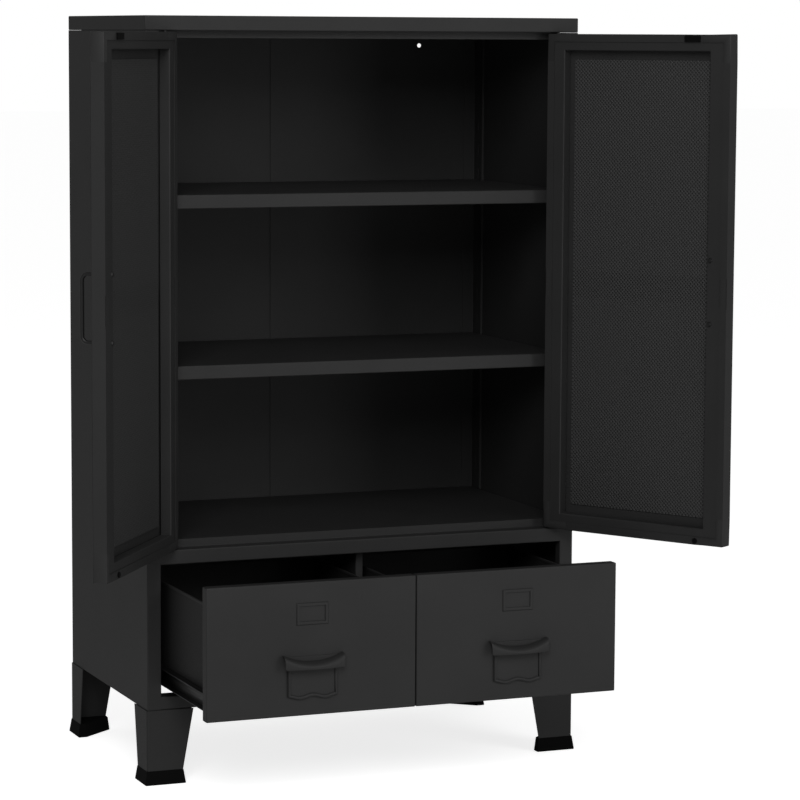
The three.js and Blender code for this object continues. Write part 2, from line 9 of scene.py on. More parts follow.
import bmesh
import bpy
from mathutils import Matrix, Vector


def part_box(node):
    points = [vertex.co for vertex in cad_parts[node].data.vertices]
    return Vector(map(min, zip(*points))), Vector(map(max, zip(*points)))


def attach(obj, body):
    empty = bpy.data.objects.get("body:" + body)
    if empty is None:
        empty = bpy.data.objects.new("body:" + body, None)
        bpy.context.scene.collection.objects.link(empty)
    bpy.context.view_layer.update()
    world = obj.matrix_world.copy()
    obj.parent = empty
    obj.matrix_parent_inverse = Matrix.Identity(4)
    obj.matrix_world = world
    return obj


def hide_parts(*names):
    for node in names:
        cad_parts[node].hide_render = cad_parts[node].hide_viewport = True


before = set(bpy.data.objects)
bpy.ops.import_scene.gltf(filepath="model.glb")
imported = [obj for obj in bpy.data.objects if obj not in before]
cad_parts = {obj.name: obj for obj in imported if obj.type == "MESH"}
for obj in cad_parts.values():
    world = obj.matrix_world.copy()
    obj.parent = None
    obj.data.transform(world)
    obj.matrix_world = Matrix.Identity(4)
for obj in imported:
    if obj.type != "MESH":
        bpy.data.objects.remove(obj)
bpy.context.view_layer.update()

# ---------------------------------------------------------------- the cabinet's own dimensions
MM = 0.001
FRONT_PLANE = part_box("left_side_panel")[0].y / MM  # row-frame y of the body's front, in mm
MIDDLE = (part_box("top_panel")[0].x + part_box("top_panel")[1].x) / 2 / MM  # row-frame x of its middle
HALF, DEPTH, HEIGHT = 350.0, 400.0, 1150.0
STEEL = 1.0
BEND = 1.6  # outside radius of a fold
FLAT_AREA = 0.0008  # square metres: a larger face is flat sheet, and isn't shaded round its folds
FIT = 0.3
TUCK = 1.4  # how far a rail's end reaches into the rounded fold beside it
STILE, STILE_RETURN, REAR_FLANGE = 22.0, 15.0, 20.0
OPENING = HALF - STILE
BACK = DEPTH - STEEL
REAR_INSIDE = BACK - STEEL - 2 * FIT
LEG_HEIGHT, DRAWER_FLOOR, DRAWER_TOP = 114.0, 134.0, 334.0
LEDGE, FLOOR_TOP = 356.0, 368.0
CAP_BOTTOM = 1128.0
DOOR_STOP = 23.0
SHELVES = {"lower_shelf": 629.0, "upper_shelf": 885.0}
PIN_X, PIN_Y = 10.0 - OPENING, 4.0
# how far each door stands open at rest
DOOR_OPEN = {"left": math.radians(126.0), "right": math.radians(121.5)}
DOOR_Z0, DOOR_Z1 = LEDGE + 1.5, CAP_BOTTOM - 2.0
DOOR_MIDDLE = (DOOR_Z0 + DOOR_Z1) / 2
MID_RAIL = 41.0
MESH_CELL = 0.0042  # metres between the wires of the door mesh
MESH_TURNS = {"left": DOOR_OPEN["left"], "right": -DOOR_OPEN["right"]}
DRAWER_OUT = 206.0
SIDES = ("left", "right")

# ---------------------------------------------------------------- camera, lights and floor
CAMERA = dict(x=-1755.4, y=-4540.7, z=1123.5, yaw=22.13, pitch=-6.56, roll=0.30, focal_px=3176.8)
FRAME_PX = 800.0


def add_camera():
    data = bpy.data.cameras.new("camera")
    data.sensor_width = 36.0
    data.lens = CAMERA["focal_px"] * data.sensor_width / FRAME_PX
    data.clip_end = 50.0
    camera = bpy.data.objects.new("camera", data)
    bpy.context.scene.collection.objects.link(camera)
    yaw, pitch, roll = (math.radians(CAMERA[k]) for k in ("yaw", "pitch", "roll"))
    turn = Matrix.Rotation(-yaw, 3, "Z") @ Matrix.Rotation(math.pi / 2 + pitch, 3, "X")
    camera.matrix_world = (turn @ Matrix.Rotation(roll, 3, "Z")).to_4x4()
    camera.location = Vector((CAMERA["x"], CAMERA["y"], CAMERA["z"])) * MM
    bpy.context.scene.camera = camera


def add_area_light(name, location, target, size, energy):
    data = bpy.data.lights.new(name, "AREA")
    data.shape = "RECTANGLE"
    data.size, data.size_y = size
    data.energy = energy
    light = bpy.data.objects.new(name, data)
    light.location = location
    light.rotation_euler = (Vector(target) - Vector(location)).to_track_quat("-Z", "Y").to_euler()
    bpy.context.scene.collection.objects.link(light)


WORLD_LIGHT = 0.22  # what the white surroundings give the cabinet, against 1.0 as the camera sees them


def seen_or_lit(tree, lit, seen):
    """One value for the light that falls on things and another for what the camera sees."""
    path = add_node(tree, "ShaderNodeLightPath")
    node = add_node(tree, "ShaderNodeMix")
    node.inputs["A"].default_value = lit
    node.inputs["B"].default_value = seen
    tree.links.new(path.outputs["Is Camera Ray"], node.inputs["Factor"])
    return node.outputs["Result"]


def add_world():
    world = bpy.data.worlds.new("studio")
    bpy.context.scene.world = world
    world.use_nodes = True
    tree = world.node_tree
    background = tree.nodes["Background"]
    background.inputs["Color"].default_value = (1.0, 1.0, 1.0, 1.0)
    tree.links.new(seen_or_lit(tree, WORLD_LIGHT, 1.0), background.inputs["Strength"])


def add_floor():
    """A pale floor that the camera sees as white wherever nothing shades it."""
    far = 40.0
    mesh = bpy.data.meshes.new("floor")
    mesh.from_pydata([(-far, -far, 0), (far, -far, 0), (far, far, 0), (-far, far, 0)], [], [(0, 1, 2, 3)])
    floor = bpy.data.objects.new("floor", mesh)
    bpy.context.scene.collection.objects.link(floor)
    material, shader, tree = new_material("studio_floor", (0.93, 0.93, 0.93), 0.95, 0.0)
    shader.inputs["Emission Color"].default_value = (1.0, 1.0, 1.0, 1.0)
    tree.links.new(seen_or_lit(tree, 0.0, 1.0 - WORLD_LIGHT), shader.inputs["Emission Strength"])
    mesh.materials.append(material)


def add_studio():
    bpy.context.scene.view_settings.view_transform = "Standard"
    middle = (0.0, 0.0, 0.6)
    add_world()
    add_floor()
    add_area_light("key", (-1.5, -3.5, 2.7), middle, (2.0, 2.0), 88.0)
    add_area_light("fill", (1.9, -2.9, 1.4), middle, (1.6, 2.4), 26.0)


# ---------------------------------------------------------------- materials
def new_material(name, colour, roughness, metallic):
    material = bpy.data.materials.new(name)
    material.use_nodes = True
    shader = material.node_tree.nodes["Principled BSDF"]
    shader.inputs["Base Color"].default_value = (*colour, 1.0)
    shader.inputs["Roughness"].default_value = roughness
    shader.inputs["Metallic"].default_value = metallic
    return material, shader, material.node_tree


def add_node(tree, kind, **values):
    node = tree.nodes.new(kind)
    for key, value in values.items():
        if key in node.inputs:
            node.inputs[key].default_value = value
        else:
            setattr(node, key, value)
    return node


def noise(tree, scale, detail=3.0, stretch=(1.0, 1.0, 1.0)):
    """A noise in the object's own metres; `scale` is its cells per metre."""
    place = add_node(tree, "ShaderNodeTexCoord")
    mapping = add_node(tree, "ShaderNodeMapping", Scale=stretch)
    texture = add_node(tree, "ShaderNodeTexNoise", Scale=scale, Detail=detail)
    tree.links.new(place.outputs["Object"], mapping.inputs["Vector"])
    tree.links.new(mapping.outputs["Vector"], texture.inputs["Vector"])
    return texture.outputs["Fac"]


def ramp(tree, factor, low, high):
    """The factor's middle range spread from `low` to `high`."""
    node = add_node(tree, "ShaderNodeMapRange")
    node.inputs["From Min"].default_value = 0.35
    node.inputs["From Max"].default_value = 0.65
    node.inputs["To Min"].default_value = low
    node.inputs["To Max"].default_value = high
    tree.links.new(factor, node.inputs["Value"])
    return node.outputs["Result"]


def tint(tree, factor, dark, light):
    node = add_node(tree, "ShaderNodeMix", data_type="RGBA")
    node.inputs[6].default_value = (*dark, 1.0)
    node.inputs[7].default_value = (*light, 1.0)
    tree.links.new(factor, node.inputs[0])
    return node.outputs[2]


def add_bump(tree, shader, height, distance, strength):
    bump = add_node(tree, "ShaderNodeBump", Distance=distance, Strength=strength)
    tree.links.new(height, bump.inputs["Height"])
    tree.links.new(bump.outputs["Normal"], shader.inputs["Normal"])
    return bump


COAT_CLOUDS, COAT_GRAIN = 9.0, 900.0  # cells per metre
CLOUDINESS = 0.06


def powder_coat(name, tone, roughness=0.55):
    """Black powder coat: fine orange peel, faint cloudiness and slightly uneven gloss."""
    material, shader, tree = new_material(name, (tone, tone, tone), roughness, 0.0)
    clouds = noise(tree, COAT_CLOUDS, 2.0)
    grain = noise(tree, COAT_GRAIN, 2.0)
    dark = (tone * (1 - CLOUDINESS),) * 3
    light = (tone * (1 + CLOUDINESS),) * 3
    tree.links.new(tint(tree, ramp(tree, clouds, 0.0, 1.0), dark, light), shader.inputs["Base Color"])
    tree.links.new(ramp(tree, grain, roughness - 0.05, roughness + 0.07), shader.inputs["Roughness"])
    shader.inputs["Specular IOR Level"].default_value = 0.25
    add_bump(tree, shader, grain, 0.00012, 0.5)
    return material


def woven_mesh(name, tone, turn):
    """Fine diamond mesh over painted shade: its holes show a dark tone for the shade behind the mesh,
    darkest over the skin's middle rail, a real black sheet lying in the mesh's shade. `turn` brings the
    open door's width along x.
    """
    window, rail, wires = tone * 0.30, tone * 0.12, tone * 1.2  # painted shade seen through the holes over the windows and over the rail, and the wires' own tone
    material, shader, tree = new_material(name, (tone, tone, tone), 0.55, 0.0)
    place = add_node(tree, "ShaderNodeTexCoord")
    flat = add_node(tree, "ShaderNodeMapping", Rotation=(0.0, 0.0, turn))
    upright = add_node(tree, "ShaderNodeMapping", Rotation=(-math.pi / 2, 0.0, 0.0))
    diagonal = add_node(tree, "ShaderNodeMapping", Rotation=(0.0, 0.0, math.pi / 4))
    tree.links.new(place.outputs["Object"], flat.inputs["Vector"])
    tree.links.new(flat.outputs["Vector"], upright.inputs["Vector"])
    tree.links.new(upright.outputs["Vector"], diagonal.inputs["Vector"])
    cells = add_node(
        tree, "ShaderNodeTexVoronoi", voronoi_dimensions="2D", Scale=1.0 / MESH_CELL, Randomness=0.0,
    )
    tree.links.new(diagonal.outputs["Vector"], cells.inputs["Vector"])
    wire = add_node(tree, "ShaderNodeMapRange")
    wire.inputs["From Min"].default_value = 0.30
    wire.inputs["From Max"].default_value = 0.42
    tree.links.new(cells.outputs["Distance"], wire.inputs["Value"])
    # Painted shade: the dark tone that shows through the mesh's holes, darker still over the middle rail.
    painted_shade_behind = tint(tree, over_middle_rail(tree, place), (window,) * 3, (rail,) * 3)
    colour = add_node(tree, "ShaderNodeMix", data_type="RGBA")
    colour.inputs[7].default_value = (wires, wires, wires, 1.0)
    tree.links.new(wire.outputs["Result"], colour.inputs[0])
    tree.links.new(painted_shade_behind, colour.inputs[6])
    tree.links.new(colour.outputs[2], shader.inputs["Base Color"])
    tree.links.new(ramp(tree, noise(tree, COAT_GRAIN, 2.0), 0.5, 0.62), shader.inputs["Roughness"])
    add_bump(tree, shader, wire.outputs["Result"], 0.0006, 0.6)
    return material


def over_middle_rail(tree, place):
    """1 over the skin's middle rail, where it backs the mesh and the painted shade is darkest, and 0 over
    the two windows.
    """
    axes = add_node(tree, "ShaderNodeSeparateXYZ")
    tree.links.new(place.outputs["Object"], axes.inputs["Vector"])
    away = add_node(tree, "ShaderNodeMath", operation="SUBTRACT")
    away.inputs[1].default_value = DOOR_MIDDLE * MM
    tree.links.new(axes.outputs["Z"], away.inputs[0])
    size = add_node(tree, "ShaderNodeMath", operation="ABSOLUTE")
    tree.links.new(away.outputs[0], size.inputs[0])
    band = add_node(tree, "ShaderNodeMath", operation="LESS_THAN")
    band.inputs[1].default_value = MID_RAIL * MM / 2
    tree.links.new(size.outputs[0], band.inputs[0])
    return band.outputs[0]


def zinc(name, tone):
    material, shader, tree = new_material(name, (tone, tone, tone), 0.4, 0.9)
    drawn = noise(tree, 260.0, 3.0, (1.0, 0.04, 1.0))
    tree.links.new(ramp(tree, drawn, 0.3, 0.5), shader.inputs["Roughness"])
    add_bump(tree, shader, drawn, 0.0001, 0.3)
    return material


def moulded_plastic(name, tone, roughness):
    material, shader, tree = new_material(name, (tone, tone, tone), roughness, 0.0)
    shader.inputs["Specular IOR Level"].default_value = 0.12
    grain = noise(tree, 1500.0, 2.0)
    tree.links.new(ramp(tree, grain, roughness - 0.05, roughness + 0.08), shader.inputs["Roughness"])
    add_bump(tree, shader, grain, 0.0001, 0.4)
    return material


COAT = powder_coat("black_powder_coat", 0.020)
# The same black coat, darker and rougher: painted shade for the drawer boxes' insides.
COAT_SHADED_INSIDE = powder_coat("black_powder_coat_painted_shade", 0.013, 0.62)
MESH_COATS = {side: woven_mesh(f"black_mesh_coat_{side}", 0.027, turn) for side, turn in MESH_TURNS.items()}
SATIN = powder_coat("satin_black_coat", 0.012, 0.4)
ZINC = zinc("dark_zinc", 0.035)
PLASTIC = moulded_plastic("black_foot_plastic", 0.001, 0.85)


# ---------------------------------------------------------------- placing
def on_body(side):
    """Millimetres in the cabinet's coordinates to metres in the row frame."""
    flip = 1.0 if side == "left" else -1.0
    return lambda x, y, z: Vector((flip * x + MIDDLE, y + FRONT_PLANE, z)) * MM


def on_door(side):
    place = on_body(side)
    c, s = math.cos(DOOR_OPEN[side]), math.sin(DOOR_OPEN[side])

    def put(x, y, z):
        dx, dy = x - PIN_X, y - PIN_Y
        return place(PIN_X + dx * c + dy * s, PIN_Y - dx * s + dy * c, z)
    return put


def on_drawer(side):
    place = on_body(side)
    return lambda x, y, z: place(x, y - DRAWER_OUT, z)


def at_corner(side, end):
    """x and y growing inwards from one of the body's four vertical corners."""
    place = on_body(side)
    if end == "front":
        return lambda x, y, z: place(x - HALF, y, z)
    return lambda x, y, z: place(x - HALF, DEPTH - y, z)


# ---------------------------------------------------------------- meshes
def face_outwards(bm):
    """Turns the faces of a solid, or of an open shell, away from the piece's middle."""
    bmesh.ops.recalc_face_normals(bm, faces=bm.faces)
    middle = sum((vert.co for vert in bm.verts), Vector()) / len(bm.verts)
    spread = sum(f.normal.dot(f.calc_center_median() - middle) * f.calc_area() for f in bm.faces)
    if spread < 0:
        bmesh.ops.reverse_faces(bm, faces=bm.faces)


def finish_mesh(bm, name, place, body, material, smooth=35.0):
    """The bmesh, drawn in millimetres, as an object in place on a body."""
    for vert in bm.verts:
        vert.co = place(*vert.co)
    face_outwards(bm)
    mesh = bpy.data.meshes.new(name)
    bm.to_mesh(mesh)
    bm.free()
    mesh.set_sharp_from_angle(angle=math.radians(smooth))
    for polygon in mesh.polygons:
        polygon.use_smooth = polygon.area < FLAT_AREA
    mesh.materials.append(material)
    piece = bpy.data.objects.new(name, mesh)
    bpy.context.scene.collection.objects.link(piece)
    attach(piece, body)
    return piece


def rounded_path(path, radii, steps=4):
    """An open path with each inner corner turned into an arc of its radius."""
    points = [path[0]]
    for before, corner, after, radius in zip(path, path[1:], path[2:], radii):
        b, c, a = Vector(before), Vector(corner), Vector(after)
        inward, outward = (b - c).normalized(), (a - c).normalized()
        half = inward.angle(outward) / 2
        reach = radius / math.tan(half)
        centre = c + (inward + outward).normalized() * (radius / math.sin(half))
        start, stop = c + inward * reach - centre, c + outward * reach - centre
        for i in range(steps + 1):
            arm = start.lerp(stop, i / steps)
            points.append(tuple(centre + arm.normalized() * radius))
    points.append(path[-1])
    return points


def folded(path, thickness=STEEL, bend=BEND):
    """The closed outline of a folded sheet lying to the right of its path."""
    turns, normals = [], []
    for a, b in zip(path, path[1:]):
        along = (Vector(b) - Vector(a)).normalized()
        normals.append(Vector((along.y, -along.x)))
    other = []
    for i, point in enumerate(path):
        first = normals[max(i - 1, 0)]
        second = normals[min(i, len(normals) - 1)]
        other.append(tuple(Vector(point) + (first + second) * thickness / (1 + first.dot(second))))
        turns.append(first.cross(second))
    sharpest = 0.3
    inside, outside = max(bend - thickness, sharpest), bend
    near = [outside if turn < 0 else inside for turn in turns[1:-1]]
    far = [inside if turn < 0 else outside for turn in turns[1:-1]]
    return rounded_path(path, near) + rounded_path(other, far)[::-1]


def prism(outline, axis, start, stop):
    """A bmesh of the outline carried along an axis: 'x' takes (y, z) points, 'y' (x, z), 'z' (x, y)."""
    order = {"x": lambda u, v, w: (w, u, v), "y": lambda u, v, w: (u, w, v), "z": lambda u, v, w: (u, v, w)}
    put = order[axis]
    bm = bmesh.new()
    first = [bm.verts.new(put(u, v, start)) for u, v in outline]
    last = [bm.verts.new(put(u, v, stop)) for u, v in outline]
    bm.faces.new(first)
    bm.faces.new(last[::-1])
    for i in range(len(outline)):
        j = (i + 1) % len(outline)
        bm.faces.new((first[j], first[i], last[i], last[j]))
    return bm


def tray(put, u, v, depth, lips, windows=(), bend=BEND, steel=STEEL):
    """A folded tray as a bmesh: a face over u and v with windows, four walls and inward lips.

    put(u, v, w) gives a point, w growing from the face into the tray. lips are the widths of
    the lips on the low u, high u, low v and high v walls.
    """
    bm = bmesh.new()
    cuts_u = sorted({u[0], u[1], *(w[0] for w in windows), *(w[1] for w in windows)})
    cuts_v = sorted({v[0], v[1], *(w[2] for w in windows), *(w[3] for w in windows)})
    grid = {(a, b): bm.verts.new(put(a, b, 0)) for a in cuts_u for b in cuts_v}
    for a0, a1 in zip(cuts_u, cuts_u[1:]):
        for b0, b1 in zip(cuts_v, cuts_v[1:]):
            middle = ((a0 + a1) / 2, (b0 + b1) / 2)
            if any(w[0] < middle[0] < w[1] and w[2] < middle[1] < w[3] for w in windows):
                continue
            bm.faces.new([grid[p] for p in ((a0, b0), (a1, b0), (a1, b1), (a0, b1))])
    rim = [(a, v[0]) for a in cuts_u] + [(u[1], b) for b in cuts_v[1:]]
    rim += [(a, v[1]) for a in cuts_u[-2::-1]] + [(u[0], b) for b in cuts_v[-2:0:-1]]
    deep = {p: bm.verts.new(put(*p, depth)) for p in rim}
    low_u, high_u, low_v, high_v = lips
    inner = {}
    for a, b in rim:
        du = low_u if a == u[0] else -high_u if a == u[1] else 0
        dv = low_v if b == v[0] else -high_v if b == v[1] else 0
        inner[a, b] = (du, dv)
    folds = []
    for p, q in zip(rim, rim[1:] + rim[:1]):
        bm.faces.new((grid[p], grid[q], deep[q], deep[p]))
        folds.append(bm.edges.get((grid[p], grid[q])))
        side = 0 if p[0] == q[0] else 1
        if inner[p][side]:
            folds.append(bm.edges.get((deep[p], deep[q])))
    tips = {}
    for p, q in zip(rim, rim[1:] + rim[:1]):
        side = 0 if p[0] == q[0] else 1
        if not inner[p][side]:
            continue
        for r in (p, q):
            if r not in tips:
                tips[r] = bm.verts.new(put(r[0] + inner[r][0], r[1] + inner[r][1], depth))
        bm.faces.new((deep[p], deep[q], tips[q], tips[p]))
    folds += [bm.edges.get((grid[p], deep[p])) for p in ((a, b) for a in u for b in v)]
    bmesh.ops.bevel(bm, geom=folds, offset=bend, segments=3, profile=0.5, affect="EDGES")
    return bm


def thicken(piece, steel=STEEL, rim=0.25):
    """Gives a skin its sheet thickness, inwards unless negative, and softens the cut edges."""
    solidify = piece.modifiers.new("sheet", "SOLIDIFY")
    solidify.thickness = steel * MM
    solidify.offset = -1.0
    soften(piece, rim)


def soften(piece, width, segments=2, angle=50.0):
    bevel = piece.modifiers.new("softened_edges", "BEVEL")
    bevel.width = width * MM
    bevel.segments = segments
    bevel.limit_method = "ANGLE"
    bevel.angle_limit = math.radians(angle)


def block(lows, highs):
    bm = bmesh.new()
    bmesh.ops.create_cube(bm, size=1.0)
    for vert in bm.verts:
        vert.co = [lo + (hi - lo) * (c + 0.5) for c, lo, hi in zip(vert.co, lows, highs)]
    return bm


def tube(points, radius, name, body, material):
    """A round bar along points given in metres; the radius is in millimetres."""
    curve = bpy.data.curves.new(name, "CURVE")
    curve.dimensions = "3D"
    curve.bevel_depth = radius * MM
    curve.bevel_resolution = 5
    curve.use_fill_caps = True
    spline = curve.splines.new("POLY")
    spline.points.add(len(points) - 1)
    for knot, point in zip(spline.points, points):
        knot.co = (*point, 1.0)
    spline.use_smooth = True
    curve.materials.append(material)
    piece = bpy.data.objects.new(name, curve)
    bpy.context.scene.collection.objects.link(piece)
    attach(piece, body)
    return piece


# ---------------------------------------------------------------- carcass
def build_cap():
    place = on_body("left")
    bm = tray(
        lambda a, b, w: (a, b, HEIGHT - w), (-HALF, HALF), (0.0, DEPTH), HEIGHT - CAP_BOTTOM,
        (STILE, STILE, DOOR_STOP, REAR_FLANGE),
    )
    cap = finish_mesh(bm, "cap", place, "carcass", COAT)
    thicken(cap)
    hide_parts("top_panel")
    stop_drop, hem_drop = 11.0, 8.0
    top = CAP_BOTTOM + 0.6  # inside the cap's own sheet
    stop = folded([(DOOR_STOP + STEEL, CAP_BOTTOM - stop_drop), (DOOR_STOP + STEEL, top)], STEEL)
    bm = prism(stop, "x", -OPENING + FIT, OPENING - FIT)
    lip = finish_mesh(bm, "cap_door_stop", place, "carcass", COAT)
    soften(lip, 0.3)
    half = HALF - REAR_FLANGE
    hem = block((-half, REAR_INSIDE - STEEL, CAP_BOTTOM - hem_drop), (half, REAR_INSIDE, top))
    finish_mesh(hem, "cap_rear_hem", place, "carcass", COAT)


def build_side_panel(side):
    rear = BACK - FIT
    flange_edge = -HALF + REAR_FLANGE
    path = [(-OPENING, STILE_RETURN), (-OPENING, 0.0), (-HALF, 0.0), (-HALF, rear), (flange_edge, rear)]
    bm = prism(folded(path), "z", LEG_HEIGHT, CAP_BOTTOM - FIT)
    panel = finish_mesh(bm, f"{side}_side", on_body(side), "carcass", COAT)
    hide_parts(f"{side}_side_panel")
    flange = block(
        (-HALF + STEEL, REAR_FLANGE, LEG_HEIGHT),
        (flange_edge, DEPTH - REAR_FLANGE, LEG_HEIGHT + STEEL),
    )
    finish_mesh(flange, f"{side}_side_bottom_flange", on_body(side), "carcass", COAT)


def build_top_rail():
    """The rail over the drawers, folded back into the doors' ledge and their lower stop."""
    lip = 12.0
    path = [(lip, DRAWER_TOP), (0.0, DRAWER_TOP), (0.0, LEDGE), (DOOR_STOP, LEDGE), (DOOR_STOP, FLOOR_TOP)]
    bm = prism(folded(path), "x", -OPENING - TUCK, OPENING + TUCK)
    rail = finish_mesh(bm, "upper_drawer_rail", on_body("left"), "carcass", COAT)
    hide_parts("drawer_top_rail")


def build_floor():
    low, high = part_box("compartment_floor")
    half, bottom = (high.x - low.x) / 2 / MM, low.z / MM
    front, rear = low.y / MM - FRONT_PLANE, high.y / MM - FRONT_PLANE
    path = [(front, bottom), (front, FLOOR_TOP), (rear, FLOOR_TOP), (rear, bottom)]
    bm = prism(folded(path), "x", -half, half)
    deck = finish_mesh(bm, "compartment_deck", on_body("left"), "carcass", COAT)
    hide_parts("compartment_floor")


def build_bottom_rails():
    lower, upper = 20.0, 26.0
    front = [(lower, LEG_HEIGHT), (0.0, LEG_HEIGHT), (0.0, DRAWER_FLOOR), (upper, DRAWER_FLOOR)]
    rear = [(REAR_INSIDE - y, z) for y, z in front][::-1]
    reaches = {"front": OPENING + TUCK, "rear": HALF - REAR_FLANGE - FIT}
    for end, path in (("front", front), ("rear", rear)):
        bm = prism(folded(path), "x", -reaches[end], reaches[end])
        rail = finish_mesh(bm, f"{end}_lower_rail", on_body("left"), "carcass", COAT)
        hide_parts(f"{end}_bottom_rail")


def build_divider():
    half, front, rear = 6.0, DOOR_STOP + 2 * STEEL + 2 * FIT, REAR_INSIDE - STEEL - FIT
    path = [(half, rear), (half, front), (-half, front), (-half, rear)]
    bm = prism(folded(path), "z", DRAWER_FLOOR + FIT, FLOOR_TOP - STEEL - FIT)
    post = finish_mesh(bm, "drawer_divider_post", on_body("left"), "carcass", COAT)
    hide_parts("drawer_divider")


def build_shelves():
    skirt, lip = 21.0, 10.0
    for name, top in SHELVES.items():
        low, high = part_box(name)
        half = (high.x - low.x) / 2 / MM
        front, rear = low.y / MM - FRONT_PLANE, high.y / MM - FRONT_PLANE
        bm = tray(
            lambda a, b, w: (a, b, top - w), (-half, half), (front, rear), skirt, (0, 0, lip, 0),
        )
        shelf = finish_mesh(bm, f"{name}_tray", on_body("left"), "carcass", COAT)
        thicken(shelf)
        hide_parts(name)


# ---------------------------------------------------------------- legs and feet
LEG_STEEL, LEG_TOP, LEG_BOTTOM = 1.5, 113.7, 8.0
LEG_FRONT, LEG_SIDE = (72.0, 53.0), (62.0, 44.0)  # width at the top and at the foot
FOOT_HEIGHT = 22.0


def build_leg(side, end):
    """Two tapered faces on one vertical rounded corner, with a flange on top."""
    bm = bmesh.new()
    rings = []
    for z, front, deep in ((LEG_TOP, LEG_FRONT[0], LEG_SIDE[0]), (LEG_BOTTOM, LEG_FRONT[1], LEG_SIDE[1])):
        outline = folded([(front, 0.0), (0.0, 0.0), (0.0, deep)][::-1], LEG_STEEL, 3.0)
        rings.append([bm.verts.new((x, y, z)) for x, y in outline])
    bm.faces.new(rings[0])
    bm.faces.new(rings[1][::-1])
    n = len(rings[0])
    for i in range(n):
        j = (i + 1) % n
        bm.faces.new((rings[0][i], rings[0][j], rings[1][j], rings[1][i]))
    leg = finish_mesh(bm, f"{side}_{end}_leg_angle", at_corner(side, end), "carcass", COAT)
    soften(leg, 0.4)
    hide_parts(f"{side}_{end}_leg")
    arm, inset, short, under = 12.0, 1.0, 2.0, 0.1
    for name, x, y in (("front", LEG_FRONT[0] - short, arm), ("side", arm, LEG_SIDE[0] - short)):
        bm = block((inset, inset, LEG_TOP - LEG_STEEL), (x, y, LEG_HEIGHT - under))
        flange = f"{side}_{end}_leg_{name}_flange"
        finish_mesh(bm, flange, at_corner(side, end), "carcass", COAT)


def build_foot(side, end):
    """A corner cap flared towards the floor, its diagonal back open round the leg."""
    wall, arm, edge = 1.0, 9.0, 1.2
    wide, deep = LEG_FRONT[1] + wall, LEG_SIDE[1] + wall
    flares = ((0.0, 4.6), (edge, 5.0), (FOOT_HEIGHT - edge, 2.2), (FOOT_HEIGHT, 1.6))
    bm = bmesh.new()
    rings = []
    for z, flare in flares:
        outline = [
            (-flare, -flare), (wide + flare, -flare), (wide + flare, arm), (arm, deep + flare),
            (-flare, deep + flare),
        ]
        rings.append([bm.verts.new((x, y, z)) for x, y in outline])
    bm.faces.new(rings[0][::-1])
    bm.faces.new(rings[-1])
    for low, high in zip(rings, rings[1:]):
        for i in range(len(low)):
            j = (i + 1) % len(low)
            bm.faces.new((low[i], low[j], high[j], high[i]))
    place = at_corner(side, end)
    foot = finish_mesh(bm, f"{side}_{end}_foot_cap", place, "carcass", PLASTIC)
    soften(foot, 1.6, 3, 30.0)
    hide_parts(f"{side}_{end}_foot")


# ---------------------------------------------------------------- doors
DOOR_X0, DOOR_X1 = 2.0 - OPENING, -1.25
DOOR_DEPTH, DOOR_LIP = 20.0, 12.0
WINDOW_HINGE, WINDOW_FREE, WINDOW_END = 42.0, 48.0, 42.0
FRAME_HINGE, FRAME_FREE, FRAME_END = 30.0, 36.0, 25.0
HANDLE_X = DOOR_X1 - 30.0
HANDLE_PITCH = 96.0


def build_door(side):
    body, place = f"{side}_door", on_door(side)
    across = (DOOR_X0 + WINDOW_HINGE, DOOR_X1 - WINDOW_FREE)
    windows = [
        (*across, DOOR_Z0 + WINDOW_END, DOOR_MIDDLE - MID_RAIL / 2),
        (*across, DOOR_MIDDLE + MID_RAIL / 2, DOOR_Z1 - WINDOW_END),
    ]
    pan = tray(
        lambda a, b, w: (a, w, b), (DOOR_X0, DOOR_X1), (DOOR_Z0, DOOR_Z1), DOOR_DEPTH,
        (DOOR_LIP,) * 4, windows,
    )
    skin = finish_mesh(pan, f"{side}_door_skin", place, body, COAT)
    thicken(skin)
    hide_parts(f"{side}_door_panel")
    build_door_frame(side, place, body)
    build_handle(side, place, body)


def build_handle(side, place, body):
    """A round bar bent into a bow, its feet on the skin."""
    radius, reach, bend = 3.0, 25.0, 9.0
    low, high = DOOR_MIDDLE - HANDLE_PITCH / 2, DOOR_MIDDLE + HANDLE_PITCH / 2
    route = rounded_path(
        [(-FIT, low), (-reach, low), (-reach, high), (-FIT, high)], [bend, bend], 10,
    )
    points = [place(HANDLE_X, y, z) for y, z in route]
    handle = tube(points, radius, f"{side}_bar_handle", body, SATIN)
    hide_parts(f"{side}_door_handle")


def build_door_frame(side, place, body):
    """The ring inside the door: flat behind the skin's lips, turned forward round the mesh."""
    face = DOOR_DEPTH - STEEL - FIT
    front = 2.4
    x0, x1 = DOOR_X0 + FRAME_HINGE, DOOR_X1 - FRAME_FREE
    z0, z1 = DOOR_Z0 + FRAME_END, DOOR_Z1 - FRAME_END
    edge = STEEL + FIT
    outer = [(DOOR_X0 + edge, DOOR_Z0 + edge), (DOOR_X1 - edge, DOOR_Z0 + edge),
             (DOOR_X1 - edge, DOOR_Z1 - edge), (DOOR_X0 + edge, DOOR_Z1 - edge)]
    inner = [(x0, z0), (x1, z0), (x1, z1), (x0, z1)]
    bm = bmesh.new()
    rings = [[bm.verts.new((x, y, z)) for x, z in ring]
             for ring, y in ((outer, face), (inner, face), (inner, front))]
    folds = []
    for a, b in zip(rings, rings[1:]):
        for i in range(4):
            j = (i + 1) % 4
            bm.faces.new((a[i], a[j], b[j], b[i]))
    for i in range(4):
        j = (i + 1) % 4
        folds.append(bm.edges.get((rings[1][i], rings[1][j])))
    bmesh.ops.bevel(bm, geom=folds, offset=BEND, segments=3, profile=0.5, affect="EDGES")
    ring = finish_mesh(bm, f"{side}_door_inner_frame", place, body, COAT)
    thicken(ring, -STEEL)
    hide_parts(f"{side}_door_frame")


